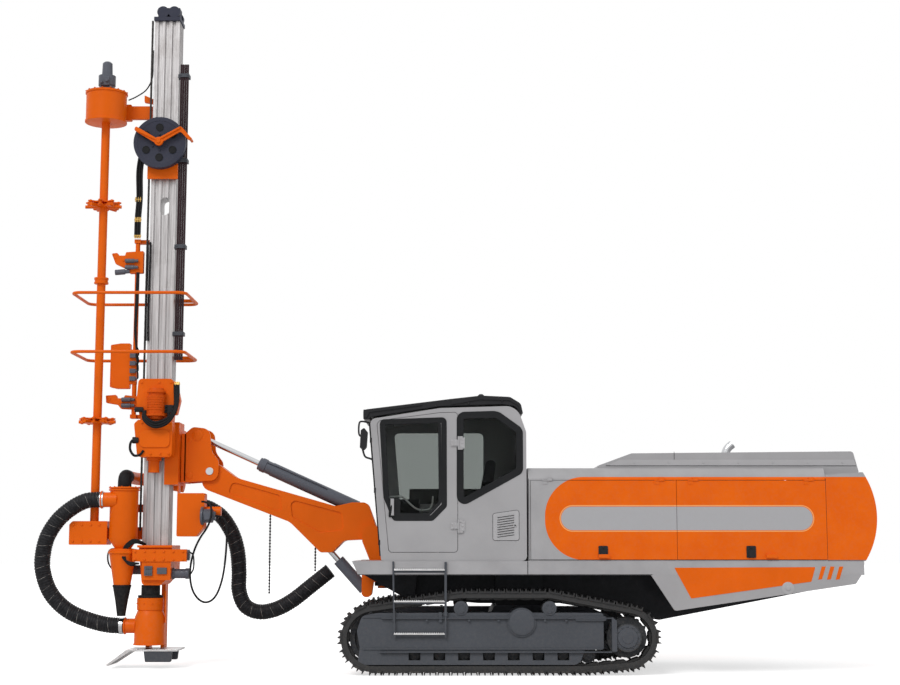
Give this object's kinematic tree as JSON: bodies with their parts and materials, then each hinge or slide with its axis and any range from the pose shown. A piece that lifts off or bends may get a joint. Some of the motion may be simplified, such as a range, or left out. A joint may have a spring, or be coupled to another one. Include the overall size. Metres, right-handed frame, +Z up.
{
  "type": "crawler drilling rig",
  "caption": "Crawler drilling rig: two crawler tracks, cab, long engine housing, and a boom that carries an upright drill feed with a rod carousel and rotation head.",
  "frame": {"origin": "On the ground, below the middle of the rig's outer box", "axes": "+X towards the engine end, the drill feed is at -X; +Y to the machine's right; +Z up"},
  "size_m": [10.354, 2.5, 8.675],
  "materials": {
    "track_steel": "worn",
    "dark_paint": "satin",
    "light_grey_paint": "satin",
    "orange_paint": "satin",
    "black_metal": "satin",
    "glass": "gloss",
    "seat_cover": "satin",
    "cab_plastic": "satin",
    "hose_rubber": "matte",
    "beam_metal": "satin",
    "bright_steel": "satin"
  },
  "bodies": {
    "carrier": {"track_left": "track_steel", "track_right": "track_steel", "drive_sprockets": "track_steel", "idler_wheels": "track_steel", "track_rollers": "track_steel", "carrier_rollers": "track_steel", "track_frame_left": "dark_paint", "track_frame_right": "dark_paint", "undercarriage_axle": "dark_paint", "platform_frame": "dark_paint", "rear_skirts": "light_grey_paint", "hood_frame": "light_grey_paint", "rear_panel": "light_grey_paint", "roof_cowl": "light_grey_paint", "exhaust_pipe": "dark_paint", "engine_block": "light_grey_paint", "compressor_block": "light_grey_paint", "cab_shell": "light_grey_paint", "cab_windows": "glass", "cab_roof_guard": "black_metal", "operator_seat": "seat_cover", "control_console": "cab_plastic", "cab_mirror": "black_metal", "step_ladder": "black_metal", "dust_collector": "light_grey_paint"},
    "cab_door": {"cab_door": "orange_paint", "cab_door_window": "glass"},
    "hood_door_front_left": {"hood_door_front_left": "orange_paint"},
    "hood_door_rear_left": {"hood_door_rear_left": "orange_paint"},
    "hood_door_front_right": {"hood_door_front_right": "orange_paint"},
    "hood_door_rear_right": {"hood_door_rear_right": "orange_paint"},
    "boom_base": {"boom_base": "orange_paint"},
    "boom": {"boom_arm": "orange_paint", "boom_hose": "hose_rubber"},
    "lift_barrel": {"lift_cylinder_barrel": "dark_paint"},
    "lift_rod": {"lift_cylinder_rod": "bright_steel"},
    "dump_barrel": {"dump_cylinder_barrel": "dark_paint"},
    "dump_rod": {"dump_cylinder_rod": "bright_steel"},
    "feed_bracket": {"feed_bracket": "orange_paint"},
    "feed_cradle": {"feed_cradle": "orange_paint", "drive_box": "orange_paint"},
    "feed": {"feed_beam": "beam_metal", "feed_crown": "dark_paint", "feed_chain": "black_metal", "feed_hoses": "hose_rubber", "breakout_table": "orange_paint", "suction_hood": "light_grey_paint", "foot_plate": "light_grey_paint", "cyclone": "light_grey_paint", "suction_hose": "hose_rubber", "guard_hoops": "orange_paint", "carousel_frame": "light_grey_paint", "gripper_brackets": "dark_paint"},
    "carousel": {"carousel_rotor": "bright_steel"},
    "grippers": {"gripper_arms": "orange_paint"},
    "rotation_head": {"rotation_head": "orange_paint"},
    "reel_carriage": {"reel_carriage": "orange_paint"},
    "hose_reel": {"hose_reel": "dark_paint"}
  },
  "joints": [
    {"name": "cab_door_swing", "type": "hinge", "parent": "carrier", "child": "cab_door", "pos_m": [0.178, -1.214, 0], "axis": [0, 0, 1], "range_deg": [0, 95]},
    {"name": "hood_door_front_left_lift", "type": "hinge", "parent": "carrier", "child": "hood_door_front_left", "pos_m": [0, -1.2235, 2.298], "axis": [-1, 0, 0], "range_deg": [0, 80]},
    {"name": "hood_door_rear_left_lift", "type": "hinge", "parent": "carrier", "child": "hood_door_rear_left", "pos_m": [0, -1.2235, 2.298], "axis": [-1, 0, 0], "range_deg": [0, 80]},
    {"name": "hood_door_front_right_lift", "type": "hinge", "parent": "carrier", "child": "hood_door_front_right", "pos_m": [0, 1.2235, 2.298], "axis": [1, 0, 0], "range_deg": [0, 80]},
    {"name": "hood_door_rear_right_lift", "type": "hinge", "parent": "carrier", "child": "hood_door_rear_right", "pos_m": [0, 1.2235, 2.298], "axis": [1, 0, 0], "range_deg": [0, 80]},
    {"name": "boom_swing", "type": "hinge", "parent": "carrier", "child": "boom_base", "pos_m": [-0.8, 0.45, 1.1], "axis": [0, 0, -1], "range_deg": [-10, 30]},
    {"name": "boom_lift", "type": "hinge", "parent": "boom_base", "child": "boom", "pos_m": [-0.964, 0.45, 1.7], "axis": [0, 1, 0], "range_deg": [-15, 30]},
    {"name": "lift_cylinder_tilt", "type": "hinge", "parent": "boom_base", "child": "lift_barrel", "pos_m": [-1, 0.45, 0.93], "axis": [0, 1, 0], "range_deg": [-5.72, 10.45]},
    {"name": "lift_cylinder_stroke", "type": "slide", "parent": "lift_barrel", "child": "lift_rod", "axis": [-0.6702, 0, 0.7422], "range_m": [-0.1398, 0.2747]},
    {"name": "dump_cylinder_tilt", "type": "hinge", "parent": "boom", "child": "dump_barrel", "pos_m": [-1.083, 0.45, 1.988], "axis": [0, 1, 0], "range_deg": [-2.36, 5.76]},
    {"name": "dump_cylinder_stroke", "type": "slide", "parent": "dump_barrel", "child": "dump_rod", "axis": [-0.9118, 0, 0.4106], "range_m": [-0.5181, 0.1516]},
    {"name": "feed_dump", "type": "hinge", "parent": "boom", "child": "feed_bracket", "pos_m": [-3.031, 0.45, 2.477], "axis": [0, 1, 0], "range_deg": [-20, 70]},
    {"name": "feed_swing", "type": "hinge", "parent": "feed_bracket", "child": "feed_cradle", "pos_m": [-3.4, 0.45, 2.7], "axis": [1, 0, 0], "range_deg": [-35, 25]},
    {"name": "feed_extension", "type": "slide", "parent": "feed_cradle", "child": "feed", "axis": [0, 0, -1], "range_m": [-0.7, 0.7]},
    {"name": "head_travel", "type": "slide", "parent": "feed", "child": "rotation_head", "axis": [0, 0, 1], "range_m": [-0.35, 3.3]},
    {"name": "reel_travel", "type": "slide", "parent": "feed", "child": "reel_carriage", "axis": [0, 0, 1], "range_m": [-0.176, 1.651]},
    {"name": "reel_spin", "type": "hinge", "parent": "reel_carriage", "child": "hose_reel", "pos_m": [-3.729, 0, 6.76], "axis": [0, 1, 0], "continuous": true},
    {"name": "carousel_turn", "type": "hinge", "parent": "feed", "child": "carousel", "pos_m": [-4.456, 0.05, 5], "axis": [0, 0, 1], "continuous": true},
    {"name": "gripper_swing", "type": "hinge", "parent": "feed", "child": "grippers", "pos_m": [-4.02, 0.19, 4.35], "axis": [0, 0, 1], "range_deg": [-8, 25]}
  ],
  "couplings": [
    {"joint": "lift_cylinder_tilt", "follows": "boom_lift", "ratio": 0.315},
    {"joint": "lift_cylinder_stroke", "follows": "boom_lift", "m_per_rad": 0.515},
    {"joint": "dump_cylinder_tilt", "follows": "feed_dump", "ratio": 0.068},
    {"joint": "dump_cylinder_stroke", "follows": "feed_dump", "m_per_rad": -0.42},
    {"joint": "reel_travel", "follows": "head_travel", "ratio": 0.5}
  ]
}
